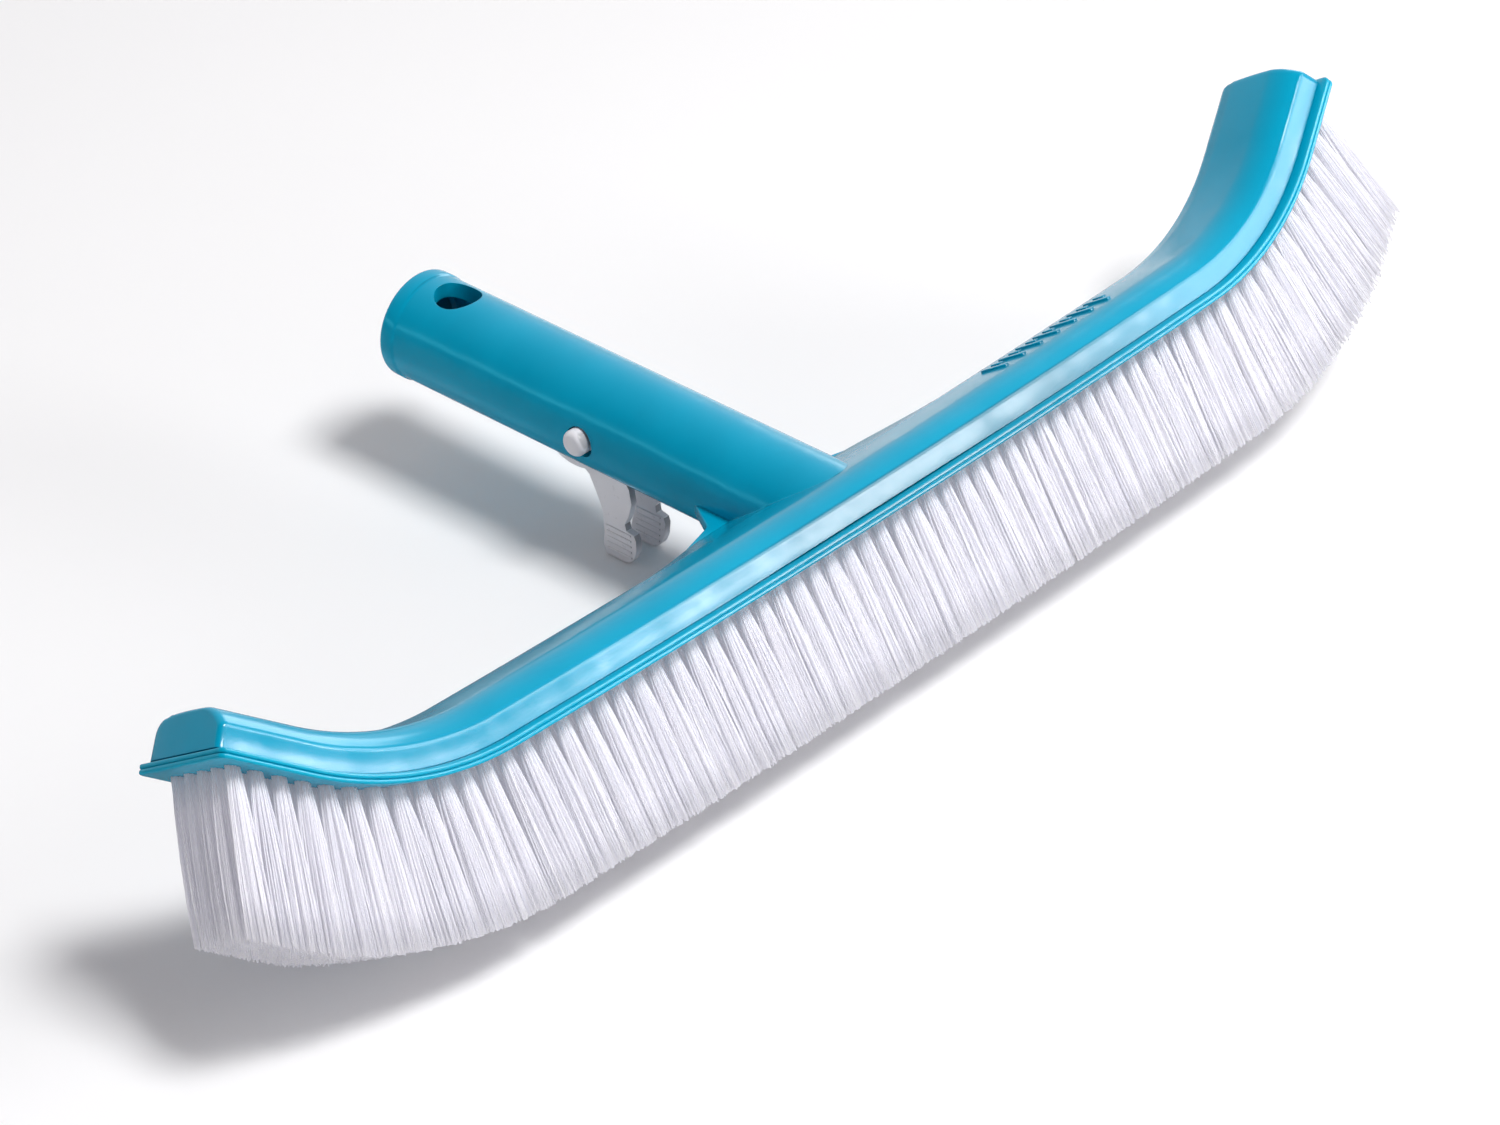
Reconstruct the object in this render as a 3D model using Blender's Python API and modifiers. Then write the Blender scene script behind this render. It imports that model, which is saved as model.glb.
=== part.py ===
"""Pool wall brush, 16 inch class: a curved moulded head with an integral tubular
handle, a bristle block, five rows of nylon tufts and a V-shaped locking clip.

World axes: +X along the head, +Y along the handle towards its free end, +Z up.
The origin is at the middle of the bounding box, on the ground. The brush stands
as it rests on a floor: handle level, head tilted, bristle tips reaching to -Y.

The pieces hang on a frame whose origin is the middle of the head's spine, a curve
along the bristle face. Places on the head are given by three lengths:
  along   arc length from the middle of the spine, positive to +X
  across  over the width, negative at the front (-Y), positive at the back (+Y)
  rise    off the bristle face, towards the top of the head
"""
import bpy
import bmesh
from math import cos, pi, radians, sin, tan
from mathutils import Matrix, Vector

MM = 0.001
GAP = 0.3 * MM                      # clearance between neighbouring pieces

# ---------------------------------------------------------------- dimensions
# Spine: a faintly crowned middle run, swept-up arcs, straight ends
TILT = radians(33.1)                # turn of the head about X
MID_RADIUS = 5525.0 * MM
MID_ANGLE = radians(1.3567)         # slope where the swept arcs begin
SWEEP_RADIUS = 92.6 * MM
END_ANGLE = radians(37.3)           # slope of the end straights
END_STRAIGHT = 24.0 * MM            # length of each end straight
MID_LENGTH = MID_RADIUS * MID_ANGLE
SWEEP_END = MID_LENGTH + SWEEP_RADIUS * (END_ANGLE - MID_ANGLE)
SPINE_END = SWEEP_END + END_STRAIGHT

# Head moulding
HEAD_HALF_WIDTH = 14.45 * MM
FOOT_SPREAD = 0.35 * MM             # how far the walls splay at their feet
WALL_FOOT_RISE = 1.35 * MM          # bottom edge of the side walls
WALL_TOP_RISE = 6.9 * MM            # top of the side walls
WALL_THICKNESS = 2.4 * MM
HEAD_TOP_RISE = 11.7 * MM           # top at the middle of the width
TOP_CROWN = 0.0033 / MM             # fall of the top, per across squared
FRONT_SHOULDER_START = radians(36.0)  # angle at which it breaks off the wall
FRONT_SHOULDER_SPAN = 8.6 * MM
SHOULDER_STEP = 0.12 * MM           # offset of the front shoulder from its crease
BACK_SHOULDER_RADIUS = 4.2 * MM
HEAD_END = SPINE_END - 0.6 * MM     # the body stops short of the flange end
HEAD_END_DRAFT = 0.7 * MM           # how far the end wall leans in at the top
HEAD_DRAFT_RUN = 14.0 * MM          # length over which that lean builds up
HEAD_END_ROUND = 2.2 * MM           # run of the body's corners along the head
HEAD_CORNER_FRONT = 1.6 * MM        # their reach across the head
HEAD_CORNER_BACK = 3.0 * MM
HEAD_END_DROP = 1.1 * MM            # rounding of the top's end edge

# Cavity in the head, and the block's core inside it
CAVITY_END = HEAD_END - WALL_THICKNESS - 2.2 * MM
CAVITY_HALF_WIDTH = HEAD_HALF_WIDTH - WALL_THICKNESS
CAVITY_TOP_RISE = HEAD_TOP_RISE - 2.9 * MM
CORE_TOP_RISE = 8.4 * MM
CORE_BEVEL = 2.4 * MM               # width of the bevel along their top edges
CORE_CORNER = 1.5 * MM              # rounding of their corners at the ends

# Bristle block flange
FLANGE_HALF_WIDTH = 17.7 * MM
FLANGE_BOTTOM_RISE = -1.7 * MM
FLANGE_TOP_RISE = 1.0 * MM
FLANGE_CORNER = 2.0 * MM            # corner radius seen from above

# Bristles
ROW_NAMES = ("front", "second", "middle", "fourth", "back")
ROW_PITCH_ROOT = 5.5 * MM
ROW_PITCH_TIP = 5.35 * MM
ROW_HALF_ROOT = 1.75 * MM           # half thickness of a row at its root
ROW_HALF_TIP = 2.4 * MM
BRISTLE_LENGTH = 37.6 * MM          # free length below the block
FIELD_END = SPINE_END - 5.1 * MM    # outer edge of the tufts
BRISTLE_LEAN = 0.48                 # share of the spine's slope the tufts follow
MIDDLE_ROW = (len(ROW_NAMES) - 1) / 2

# Handle tube
TUBE_Z = -1.93 * MM                 # height of its axis
TUBE_RADIUS = 14.6 * MM
TUBE_ROOT_Y = 2.0 * MM
TUBE_END_Y = 147.6 * MM
RIM_RADIUS = 14.95 * MM             # slightly proud band at the free end
RIM_LENGTH = 4.3 * MM
RIM_EASE = 1.1 * MM                 # rounding of the rim's outer edge
RIM_STEP = 0.8 * MM                 # length of the slope from rim to tube
BORE_RADIUS = 10.4 * MM
BORE_START_Y = 36.0 * MM
BORE_END_Y = TUBE_END_Y - 3.0 * MM  # a wall closes the handle's end
BORE_CHAMFER = 1.0 * MM
HANG_HOLE_Y = 132.5 * MM
HANG_HOLE_RADIUS = 6.3 * MM
CROSS_CUT_LENGTH = 60.0 * MM        # cutters that pass right through the tube
SLOT_Y0, SLOT_Y1 = 38.0 * MM, 95.0 * MM
SLOT_HALF_WIDTH = 9.9 * MM
SLOT_CORNER = 4.0 * MM
SLOT_TOP_Z = TUBE_Z - 4.2 * MM
SLOT_CUT_DEPTH = 18.0 * MM

# Web plate and back flare between handle and head
WEB_TOP_Z = -4.2 * MM
WEB_THICKNESS = 3.2 * MM
WEB_FILLET = 2.8 * MM
FLARE_TILT = TILT + radians(3.4)
FLARE_THICKNESS = 6.6 * MM
FLARE_ACROSS = 15.0 * MM            # where the flare lies level with the head's top
FLARE_SINK = 0.15 * MM              # how far it lies under the top there

# Locking clip
CLIP_Z = -2.33 * MM                 # height of the clip's middle
CLIP_THICKNESS = 2.2 * MM
CLIP_HEIGHT = 8.8 * MM
HINGE_X = 5.3 * MM                  # middle of the plate at the hinge line
HINGE_Y = 114.0 * MM
HINGE_OUTER_X = HINGE_X + CLIP_THICKNESS / 2
HINGE_INNER_X = HINGE_X - CLIP_THICKNESS / 2
BEND_START_Y = HINGE_Y + 0.35 * MM
BEND_END_Y = 122.0 * MM
ARM_END_Y = HINGE_Y - 0.2 * MM
PIN_Y = 76.5 * MM
PIN_RADIUS = 3.6 * MM
PIN_DOME = 1.7 * MM                 # edge rounding of the pin's end
PIN_PROUD = 2.6 * MM                # reach beyond the tube's surface
PIN_HOLE_RADIUS = 4.35 * MM
PIN_HOLE_Y = PIN_Y - 0.35 * MM
PIN_HOLE_Z = CLIP_Z - 0.2 * MM
ARM_KNEE = (7.6 * MM, 100.0 * MM)   # outer face where the arm changes slope
ARM_PIN_X = 8.9 * MM                # outer face of the arm at the pin
ARM_TIP_Y = PIN_Y - 7.2 * MM
PIN_ROOT_X = ARM_PIN_X - 1.0 * MM   # the pin starts inside the arm
LEG_THICKNESS = CLIP_THICKNESS - 0.2 * MM
LEG_X = 6.6 * MM                    # middle of each leg's plate at LEG_X_DEPTH
LEG_X_DEPTH = 12.0 * MM             # depth below the frame's origin
LEG_SPLAY = 0.052                   # the legs draw together towards their feet
LEG_TOP_Z = CLIP_Z - 2.6 * MM

AXIS_X = Vector((1.0, 0.0, 0.0))


def across_axis(tilt):
    return Vector((0.0, cos(tilt), -sin(tilt)))


AXIS_ACROSS = across_axis(TILT)
AXIS_RISE = Vector((0.0, sin(TILT), cos(TILT)))

# Extent of the standing brush, so that the origin lies under its middle
TIP_HALF = MIDDLE_ROW * ROW_PITCH_TIP + ROW_HALF_TIP
TIP_DROP = BRISTLE_LENGTH - FLANGE_BOTTOM_RISE
MIN_Y = (AXIS_ACROSS * -TIP_HALF - AXIS_RISE * TIP_DROP).y
GROUND_Z = (AXIS_ACROSS * TIP_HALF - AXIS_RISE * TIP_DROP).z
LEG_FOOT_Z = GROUND_Z + 0.05 * MM   # the clip's legs reach down to the ground

# --------------------------------------------------------- scene and materials
for old in list(bpy.data.objects):
    bpy.data.objects.remove(old, do_unlink=True)

parts = bpy.data.collections.new("pool_wall_brush")
cutters = bpy.data.collections.new("cutters")
bpy.context.scene.collection.children.link(parts)
bpy.context.scene.collection.children.link(cutters)

frame = bpy.data.objects.new("brush_frame", None)
frame.location = (0.0, -(MIN_Y + TUBE_END_Y) / 2, -GROUND_Z)
parts.objects.link(frame)


def material(name, colour, roughness):
    mat = bpy.data.materials.new(name)
    mat.use_nodes = True
    shader = mat.node_tree.nodes["Principled BSDF"]
    shader.inputs["Base Color"].default_value = (*colour, 1.0)
    shader.inputs["Roughness"].default_value = roughness
    mat.diffuse_color = (*colour, 1.0)
    return mat


TEAL = material("teal_plastic", colour=(0.0, 0.42, 0.64), roughness=0.22)
TEAL_BLOCK = material("teal_block_plastic", colour=(0.0, 0.38, 0.58), roughness=0.26)
NYLON = material("white_nylon_bristle", colour=(0.86, 0.85, 0.90), roughness=0.45)
CLIP = material("white_clip_plastic", colour=(0.83, 0.83, 0.82), roughness=0.35)


def add_piece(obj, mat, location=(0.0, 0.0, 0.0)):
    """Put a finished piece on the frame, smooth but for its sharp edges."""
    parts.objects.link(obj)
    obj.parent = frame
    obj.location = location
    obj.data.materials.append(mat)
    obj.data.shade_smooth()
    obj.data.set_sharp_from_angle(angle=radians(30.0))


def add_helper(obj, location=(0.0, 0.0, 0.0), rotation=(0.0, 0.0, 0.0)):
    """Put a solid used only by booleans on the frame, hidden from renders."""
    cutters.objects.link(obj)
    obj.parent = frame
    obj.location = location
    obj.rotation_euler = rotation
    obj.hide_render = True
    obj.display_type = "WIRE"
    return obj


def boolean(obj, other, operation):
    mod = obj.modifiers.new(operation.lower(), "BOOLEAN")
    mod.operation = operation
    mod.solver = "EXACT"
    mod.object = other


# ------------------------------------------------------------- outline helpers
def mm(points):
    """Points given in millimetres."""
    return [(x * MM, y * MM) for x, y in points]


def mirrored(points):
    """The points, then their mirror image in x = 0 in reverse order."""
    return points + [(-x, y) for x, y in reversed(points)]


def arc(centre, radius, start, end, steps, radius_y=None):
    """Arc from start to end degrees; elliptical if radius_y is given."""
    x, y = centre
    angles = [radians(start + (end - start) * i / steps) for i in range(steps + 1)]
    return [(x + radius * cos(a), y + (radius_y or radius) * sin(a)) for a in angles]


def fillet(before, corner, after, radius, steps):
    """Rounded corner between two straight runs."""
    corner = Vector(corner)
    to_before = (Vector(before) - corner).normalized()
    to_after = (Vector(after) - corner).normalized()
    half_angle = to_before.angle(to_after) / 2
    reach = radius / tan(half_angle)
    centre = corner + (to_before + to_after).normalized() * (radius / sin(half_angle))
    first = corner + to_before * reach - centre
    last = corner + to_after * reach - centre
    turn = first.angle_signed(last)         # positive clockwise
    points = []
    for i in range(steps + 1):
        a = -turn * i / steps
        points.append((centre.x + first.x * cos(a) - first.y * sin(a),
                       centre.y + first.x * sin(a) + first.y * cos(a)))
    return points


# --------------------------------------------------------------- solid builders
def mesh_object(name, bm):
    bmesh.ops.recalc_face_normals(bm, faces=bm.faces[:])
    mesh = bpy.data.meshes.new(name)
    bm.to_mesh(mesh)
    bm.free()
    return bpy.data.objects.new(name, mesh)


def loft(name, rings):
    """Closed skin through rings of equal count, capped at both ends."""
    bm = bmesh.new()
    rows = [[bm.verts.new(p) for p in ring] for ring in rings]
    count = len(rows[0])
    for a, b in zip(rows, rows[1:]):
        for i in range(count):
            j = (i + 1) % count
            bm.faces.new((a[i], a[j], b[j], b[i]))
    bm.faces.new(rows[0])
    bm.faces.new(rows[-1])
    return mesh_object(name, bm)


def flat_plate(name, outline, thickness):
    """Flat outline (x, y) as a filled 2D curve, extruded, centred on z = 0."""
    curve = bpy.data.curves.new(name, "CURVE")
    curve.dimensions = "2D"
    curve.fill_mode = "BOTH"
    curve.extrude = thickness / 2
    spline = curve.splines.new("POLY")
    spline.points.add(len(outline) - 1)
    for point, (x, y) in zip(spline.points, outline):
        point.co = (x, y, 0.0, 1.0)
    spline.use_cyclic_u = True
    curve_obj = bpy.data.objects.new(name + "_curve", curve)
    bpy.context.scene.collection.objects.link(curve_obj)
    bpy.context.view_layer.update()
    depsgraph = bpy.context.evaluated_depsgraph_get()
    filled = bpy.data.meshes.new_from_object(curve_obj.evaluated_get(depsgraph))
    bpy.data.objects.remove(curve_obj, do_unlink=True)
    bm = bmesh.new()
    bm.from_mesh(filled)
    bpy.data.meshes.remove(filled)
    # the curve's caps and sides come unjoined and triangulated
    bmesh.ops.remove_doubles(bm, verts=bm.verts[:], dist=1e-6)
    bmesh.ops.dissolve_limit(bm, angle_limit=radians(0.5), verts=bm.verts[:],
                             edges=bm.edges[:])
    return mesh_object(name, bm)


def turned(name, profile, steps):
    """Screw of a (radius, height) profile about Z."""
    mesh = bpy.data.meshes.new(name)
    mesh.from_pydata([(radius, 0.0, z) for radius, z in profile],
                     [(i, i + 1) for i in range(len(profile) - 1)], [])
    obj = bpy.data.objects.new(name, mesh)
    mod = obj.modifiers.new("turn", "SCREW")
    mod.angle = 2 * pi
    mod.steps = steps
    mod.render_steps = steps
    mod.use_merge_vertices = True
    mod.merge_threshold = 1e-5
    return obj


def cylinder(name, radius, depth, segments):
    bm = bmesh.new()
    bmesh.ops.create_cone(bm, cap_ends=True, segments=segments, radius1=radius,
                          radius2=radius, depth=depth)
    return mesh_object(name, bm)


def box(name, size):
    bm = bmesh.new()
    bmesh.ops.create_cube(bm, size=1.0)
    bmesh.ops.scale(bm, verts=bm.verts[:], vec=size)
    return mesh_object(name, bm)


# ------------------------------------------------------------------------ spine
def spine(along):
    """Point (x, rise) and slope of the spine at an arc length."""
    sign = -1.0 if along < 0 else 1.0
    along = abs(along)
    slope = along / MID_RADIUS if along <= MID_LENGTH else MID_ANGLE
    x = MID_RADIUS * sin(slope)
    rise = MID_RADIUS * (1 - cos(slope))
    if along > MID_LENGTH:
        slope += (min(along, SWEEP_END) - MID_LENGTH) / SWEEP_RADIUS
        x += SWEEP_RADIUS * (sin(slope) - sin(MID_ANGLE))
        rise += SWEEP_RADIUS * (cos(MID_ANGLE) - cos(slope))
    if along > SWEEP_END:
        x += (along - SWEEP_END) * cos(slope)
        rise += (along - SWEEP_END) * sin(slope)
    return sign * x, rise, sign * slope


def on_head(along, across, rise):
    """Point in the frame from its three lengths on the head."""
    x, spine_rise, slope = spine(along)
    return (AXIS_X * (x - sin(slope) * rise)
            + AXIS_RISE * (spine_rise + cos(slope) * rise) + AXIS_ACROSS * across)


def half_stations(mid_steps, sweep_steps):
    """Arc lengths from the middle of the spine to the end of the sweep."""
    mid = [MID_LENGTH * i / mid_steps for i in range(mid_steps)]
    sweep = [MID_LENGTH + (SWEEP_END - MID_LENGTH) * i / sweep_steps
             for i in range(sweep_steps)]
    return mid + sweep + [SWEEP_END]


def rounded_stations(end, rounding, steps):
    """Stations of a loft with rounded ends, as (along, pinch) pairs.
    The pinch grows from 0 to 1 over the rounding."""
    start = end - rounding
    half = [(s, 0.0) for s in half_stations(4, 12) if s < start - 1e-6]
    for i in range(steps + 1):
        a = pi / 2 * i / steps
        half.append((start + rounding * sin(a), 1 - cos(a)))
    return [(-s, pinch) for s, pinch in reversed(half[1:])] + half


# ------------------------------------------------------------------------- head
def head_top(across):
    return HEAD_TOP_RISE - TOP_CROWN * across * across


def head_section():
    """Outer section of the head as (across, rise), front foot to back foot.
    The front shoulder is broad, the back one tighter."""
    half = HEAD_HALF_WIDTH
    foot = half + FOOT_SPREAD
    crease = WALL_TOP_RISE - 0.2 * MM
    points = [(-foot, WALL_FOOT_RISE), (-half, crease)]
    start = FRONT_SHOULDER_START
    base = crease + SHOULDER_STEP
    for i in range(1, 8):
        a = start + (pi / 2 - start) * i / 7
        across = (-half + SHOULDER_STEP
                  + FRONT_SHOULDER_SPAN * (cos(start) - cos(a)) / cos(start))
        share = (sin(a) - sin(start)) / (1 - sin(start))
        points.append((across, base + (head_top(across) - base) * share))
    points += [(v * MM, head_top(v * MM)) for v in (-3.5, 0.0, 3.5, 7.0)]
    radius = BACK_SHOULDER_RADIUS
    points += arc((half - radius, head_top(half) - radius), radius, 90, 0, 6)
    points.append((foot, WALL_FOOT_RISE))
    return points


def head_body():
    section = head_section()
    rings = []
    for along, pinch in rounded_stations(HEAD_END, HEAD_END_ROUND, 6):
        build_up = max(0.0, (abs(along) - HEAD_END) / HEAD_DRAFT_RUN + 1)
        lean_in = HEAD_END_DRAFT * build_up * (1 if along > 0 else -1)
        ring = []
        for across, rise in section:
            height = (rise - WALL_FOOT_RISE) / (HEAD_TOP_RISE - WALL_FOOT_RISE)
            corner = HEAD_CORNER_FRONT if across < 0 else HEAD_CORNER_BACK
            ring.append(on_head(along - lean_in * height,
                                across * (1 - pinch * corner / HEAD_HALF_WIDTH),
                                rise - pinch * HEAD_END_DROP * height))
        rings.append(ring)
    return loft("head_and_handle", rings)


def bevelled_helper(name, end, half_width, foot_rise, wall_rise, top_rise):
    """Solid along the spine with bevelled top edges: the cavity or the core."""
    rings = []
    for along, pinch in rounded_stations(end, CORE_CORNER, 2):
        narrowing = 1 - pinch * CORE_CORNER / half_width
        section = mirrored([(-half_width * narrowing, foot_rise),
                            (-half_width * narrowing, wall_rise),
                            ((-half_width + CORE_BEVEL) * narrowing, top_rise)])
        rings.append([on_head(along, across, rise) for across, rise in section])
    return add_helper(loft(name, rings))


def head_cavity():
    """Hollow that takes the core of the bristle block, open at the bottom."""
    return bevelled_helper("head_cavity_cut", CAVITY_END, CAVITY_HALF_WIDTH,
                           foot_rise=WALL_FOOT_RISE - 3 * MM,
                           wall_rise=WALL_TOP_RISE, top_rise=CAVITY_TOP_RISE)


def underside_scarf():
    """Clears whatever reaches below the feet of the head's walls."""
    depth = 26.0 * MM
    centre = AXIS_ACROSS * (12.0 * MM) + AXIS_RISE * (WALL_FOOT_RISE - depth / 2)
    return add_helper(box("underside_scarf_cut", (124 * MM, 62 * MM, depth)),
                      centre, (-TILT, 0.0, 0.0))


# ----------------------------------------------------------------------- handle
def along_handle(obj, start_y):
    """Lay a turned helper on the tube's axis, its height running to +Y."""
    return add_helper(obj, (0.0, start_y, TUBE_Z), (-pi / 2, 0.0, 0.0))


def handle_tube():
    length = TUBE_END_Y - TUBE_ROOT_Y
    rim_start = length - RIM_LENGTH
    profile = [(0.0, length)]
    profile += arc((RIM_RADIUS - RIM_EASE, length - RIM_EASE), RIM_EASE, 90, 0, 5)
    profile += [(RIM_RADIUS, rim_start), (TUBE_RADIUS, rim_start - RIM_STEP),
                (TUBE_RADIUS, 0.0), (0.0, 0.0)]
    return along_handle(turned("handle_tube_solid", profile, 64), TUBE_ROOT_Y)


def handle_bore():
    profile = [(0.0, BORE_END_Y), (BORE_RADIUS - BORE_CHAMFER, BORE_END_Y),
               (BORE_RADIUS, BORE_END_Y - BORE_CHAMFER),
               (BORE_RADIUS, BORE_START_Y), (0.0, BORE_START_Y)]
    return along_handle(turned("handle_bore_cut", profile, 48), 0.0)


def web_plate():
    """Level gusset plate that fills the corners between handle and head."""
    tube_side, corner, head_side = mm([(14.4, 36.5), (19.8, 27.6), (38.0, 22.8)])
    right = mm([(12.6, 38.5)]) + [tube_side]
    right += fillet(tube_side, corner, head_side, WEB_FILLET, 8)
    right += [head_side] + mm([(46.0, 20.6), (52.0, 18.0), (52.0, 15.0)])
    return add_helper(flat_plate("web_plate_solid", mirrored(right), WEB_THICKNESS),
                      (0.0, 0.0, WEB_TOP_Z - WEB_THICKNESS / 2))


def back_flare():
    """Tilted plate: the head's back flares out to meet the web."""
    left = [(-56.0, 8.0)]
    for i in range(13):
        u = i / 12
        left.append((-(54.0 - 31.0 * u), 13.2 + 8.8 * (u * u * (3 - 2 * u))))
    left.append((-14.0, 22.8))
    rise = head_top(FLARE_ACROSS) - FLARE_THICKNESS / 2 - FLARE_SINK
    # the plate turns about its own y = 0 line, so step back along its tilted axis
    location = (AXIS_ACROSS * FLARE_ACROSS + AXIS_RISE * rise
                - across_axis(FLARE_TILT) * FLARE_ACROSS)
    return add_helper(flat_plate("back_flare_solid", mirrored(mm(left)), FLARE_THICKNESS),
                      location, (-FLARE_TILT, 0.0, 0.0))


def underside_slot():
    x = SLOT_HALF_WIDTH - SLOT_CORNER
    y0, y1 = SLOT_Y0 + SLOT_CORNER, SLOT_Y1 - SLOT_CORNER
    outline = []
    for centre, start in (((x, y1), 0), ((-x, y1), 90), ((-x, y0), 180), ((x, y0), 270)):
        outline += arc(centre, SLOT_CORNER, start, start + 90, 4)
    return add_helper(flat_plate("underside_slot_cut", outline, SLOT_CUT_DEPTH),
                      (0.0, 0.0, SLOT_TOP_Z - SLOT_CUT_DEPTH / 2))


def hanging_hole():
    return add_helper(cylinder("hanging_hole_cut", HANG_HOLE_RADIUS, CROSS_CUT_LENGTH, 40),
                      (0.0, HANG_HOLE_Y, TUBE_Z))


def pin_holes():
    return add_helper(cylinder("pin_hole_cut", PIN_HOLE_RADIUS, CROSS_CUT_LENGTH, 32),
                      (0.0, PIN_HOLE_Y, PIN_HOLE_Z), (0.0, pi / 2, 0.0))


def head_and_handle():
    head = head_body()
    add_piece(head, TEAL)
    for build in (handle_tube, web_plate, back_flare):
        boolean(head, build(), "UNION")
    for build in (underside_scarf, head_cavity, handle_bore, underside_slot,
                  hanging_hole, pin_holes):
        boolean(head, build(), "DIFFERENCE")


# ---------------------------------------------------------------- bristle block
def bristle_block():
    """Flange plate with a core that sits inside the head."""
    bottom, top = FLANGE_BOTTOM_RISE, FLANGE_TOP_RISE
    # edge of the flange, bottom to top: (inset from the half width, rise)
    edge = [(0.5 * MM, bottom), (0.0, bottom + 0.4 * MM), (0.02 * MM, top - 1.25 * MM),
            (0.3 * MM, top - 0.62 * MM), (0.95 * MM, top - 0.15 * MM), (1.9 * MM, top)]
    rings = []
    for along, pinch in rounded_stations(SPINE_END, FLANGE_CORNER, 7):
        half_width = FLANGE_HALF_WIDTH - pinch * FLANGE_CORNER
        section = mirrored([(half_width - inset, rise) for inset, rise in edge])
        rings.append([on_head(along, across, rise) for across, rise in section])
    block = loft("bristle_block", rings)
    add_piece(block, TEAL_BLOCK)
    core = bevelled_helper("block_core_solid", CAVITY_END - GAP - 0.1 * MM,
                           CAVITY_HALF_WIDTH - GAP - 0.05 * MM,
                           foot_rise=FLANGE_TOP_RISE - 1.5 * MM,
                           wall_rise=WALL_TOP_RISE - 0.4 * MM, top_rise=CORE_TOP_RISE)
    boolean(block, core, "UNION")


# ----------------------------------------------------------------- bristle rows
def row_ring(along, offset):
    """Section of the row offset rows behind the middle one, leaning with the spine."""
    slope = spine(along)[2]
    lean = slope * BRISTLE_LEAN
    root = on_head(along, 0.0, FLANGE_BOTTOM_RISE - GAP)
    down = AXIS_X * sin(lean) - AXIS_RISE * cos(lean)
    tip = root + down * ((BRISTLE_LENGTH - GAP) / cos(slope - lean))
    root_across = offset * ROW_PITCH_ROOT
    tip_across = offset * ROW_PITCH_TIP
    return [root + AXIS_ACROSS * (root_across - ROW_HALF_ROOT),
            root + AXIS_ACROSS * (root_across + ROW_HALF_ROOT),
            tip + AXIS_ACROSS * (tip_across + ROW_HALF_TIP),
            tip + AXIS_ACROSS * (tip_across - ROW_HALF_TIP)]


def bristle_rows():
    half = half_stations(3, 9) + [FIELD_END]
    stations = [-s for s in reversed(half[1:])] + half
    for row, name in enumerate(ROW_NAMES):
        rings = [row_ring(s, row - MIDDLE_ROW) for s in stations]
        add_piece(loft("bristle_row_" + name, rings), NYLON)


# ----------------------------------------------------------------- locking clip
# A V of springy plastic inside the handle. Its bend points to the free end, a
# round pin near each arm's tip passes out through the handle wall, and a finger
# leg hangs down from each arm through the slot.
def clip_leg(name, side):
    """Leg plate. Its outline is (y, z): a bowed upper part, a waist, and a foot
    with a rounded toe towards -Y."""
    bow_y, bow_length = 84.8 * MM, 7.7 * MM
    tip_y = ARM_TIP_Y + 0.4 * MM
    outline = [(bow_y + bow_length, LEG_TOP_Z)]
    outline += arc((bow_y, CLIP_Z - 10.2 * MM), bow_length, 0, -118.8, 5,
                   radius_y=3.9 * MM)
    outline += mm([(79.7, -17.0), (77.9, -21.0), (75.8, -26.0), (75.6, -33.0),
                   (76.2, -37.6)])
    outline.append((75.2 * MM, LEG_FOOT_Z))
    outline += arc((69.0 * MM, LEG_FOOT_Z + 6.0 * MM), 4.5 * MM, 270, 180, 5,
                   radius_y=6.0 * MM)
    outline += mm([(64.4, -31.8), (65.0, -30.3), (67.6, -29.7), (68.0, -27.8),
                   (66.4, -24.6), (65.2, -20.4), (65.8, -16.0)])
    outline += [(tip_y, CLIP_Z - 8.0 * MM), (tip_y, LEG_TOP_Z)]
    leg = flat_plate(name + "_leg_solid", outline, LEG_THICKNESS)
    # plate x -> y, plate y -> z, thickness -> x, sheared in x by the splay
    splay = side * LEG_SPLAY
    leg.data.transform(Matrix(((0, splay, 1, side * LEG_X + splay * LEG_X_DEPTH),
                               (1, 0, 0, 0),
                               (0, 1, 0, 0),
                               (0, 0, 0, 1))))
    return add_helper(leg)


def clip_pin(name, side):
    """Pin with a domed end, pointing outwards from the arm."""
    reach = TUBE_RADIUS + PIN_PROUD - PIN_ROOT_X
    dome = arc((PIN_RADIUS - PIN_DOME, reach - PIN_DOME), PIN_DOME, 90, 0, 6)
    # the cone to the axis starts one step down the dome
    profile = [(0.0, reach)] + dome[1:] + [(PIN_RADIUS, 0.0), (0.0, 0.0)]
    return add_helper(turned(name + "_pin_solid", profile, 32),
                      (side * PIN_ROOT_X, PIN_Y, CLIP_Z), (0.0, side * pi / 2, 0.0))


def clip_arm(name, side):
    """Arm with leg and pin; side is -1 at -X. Its origin is on the hinge line."""
    knee_x, knee_y = ARM_KNEE
    outer = [(HINGE_OUTER_X, ARM_END_Y), (knee_x, knee_y),
             (ARM_PIN_X, PIN_Y + 8.0 * MM), (ARM_PIN_X, ARM_TIP_Y)]
    inner = [(ARM_PIN_X - CLIP_THICKNESS, ARM_TIP_Y),
             (ARM_PIN_X - CLIP_THICKNESS, PIN_Y + 8.3 * MM),
             (knee_x - CLIP_THICKNESS, knee_y + 0.5 * MM), (HINGE_INNER_X, ARM_END_Y)]
    plan = [(side * x, y) for x, y in outer + inner]
    if side > 0:
        plan.reverse()
    arm = flat_plate(name, plan, CLIP_HEIGHT)
    arm.data.transform(Matrix.Translation((-side * HINGE_X, -HINGE_Y, 0.0)))
    add_piece(arm, CLIP, (side * HINGE_X, HINGE_Y, CLIP_Z))
    boolean(arm, clip_leg(name, side), "UNION")
    boolean(arm, clip_pin(name, side), "UNION")


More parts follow.
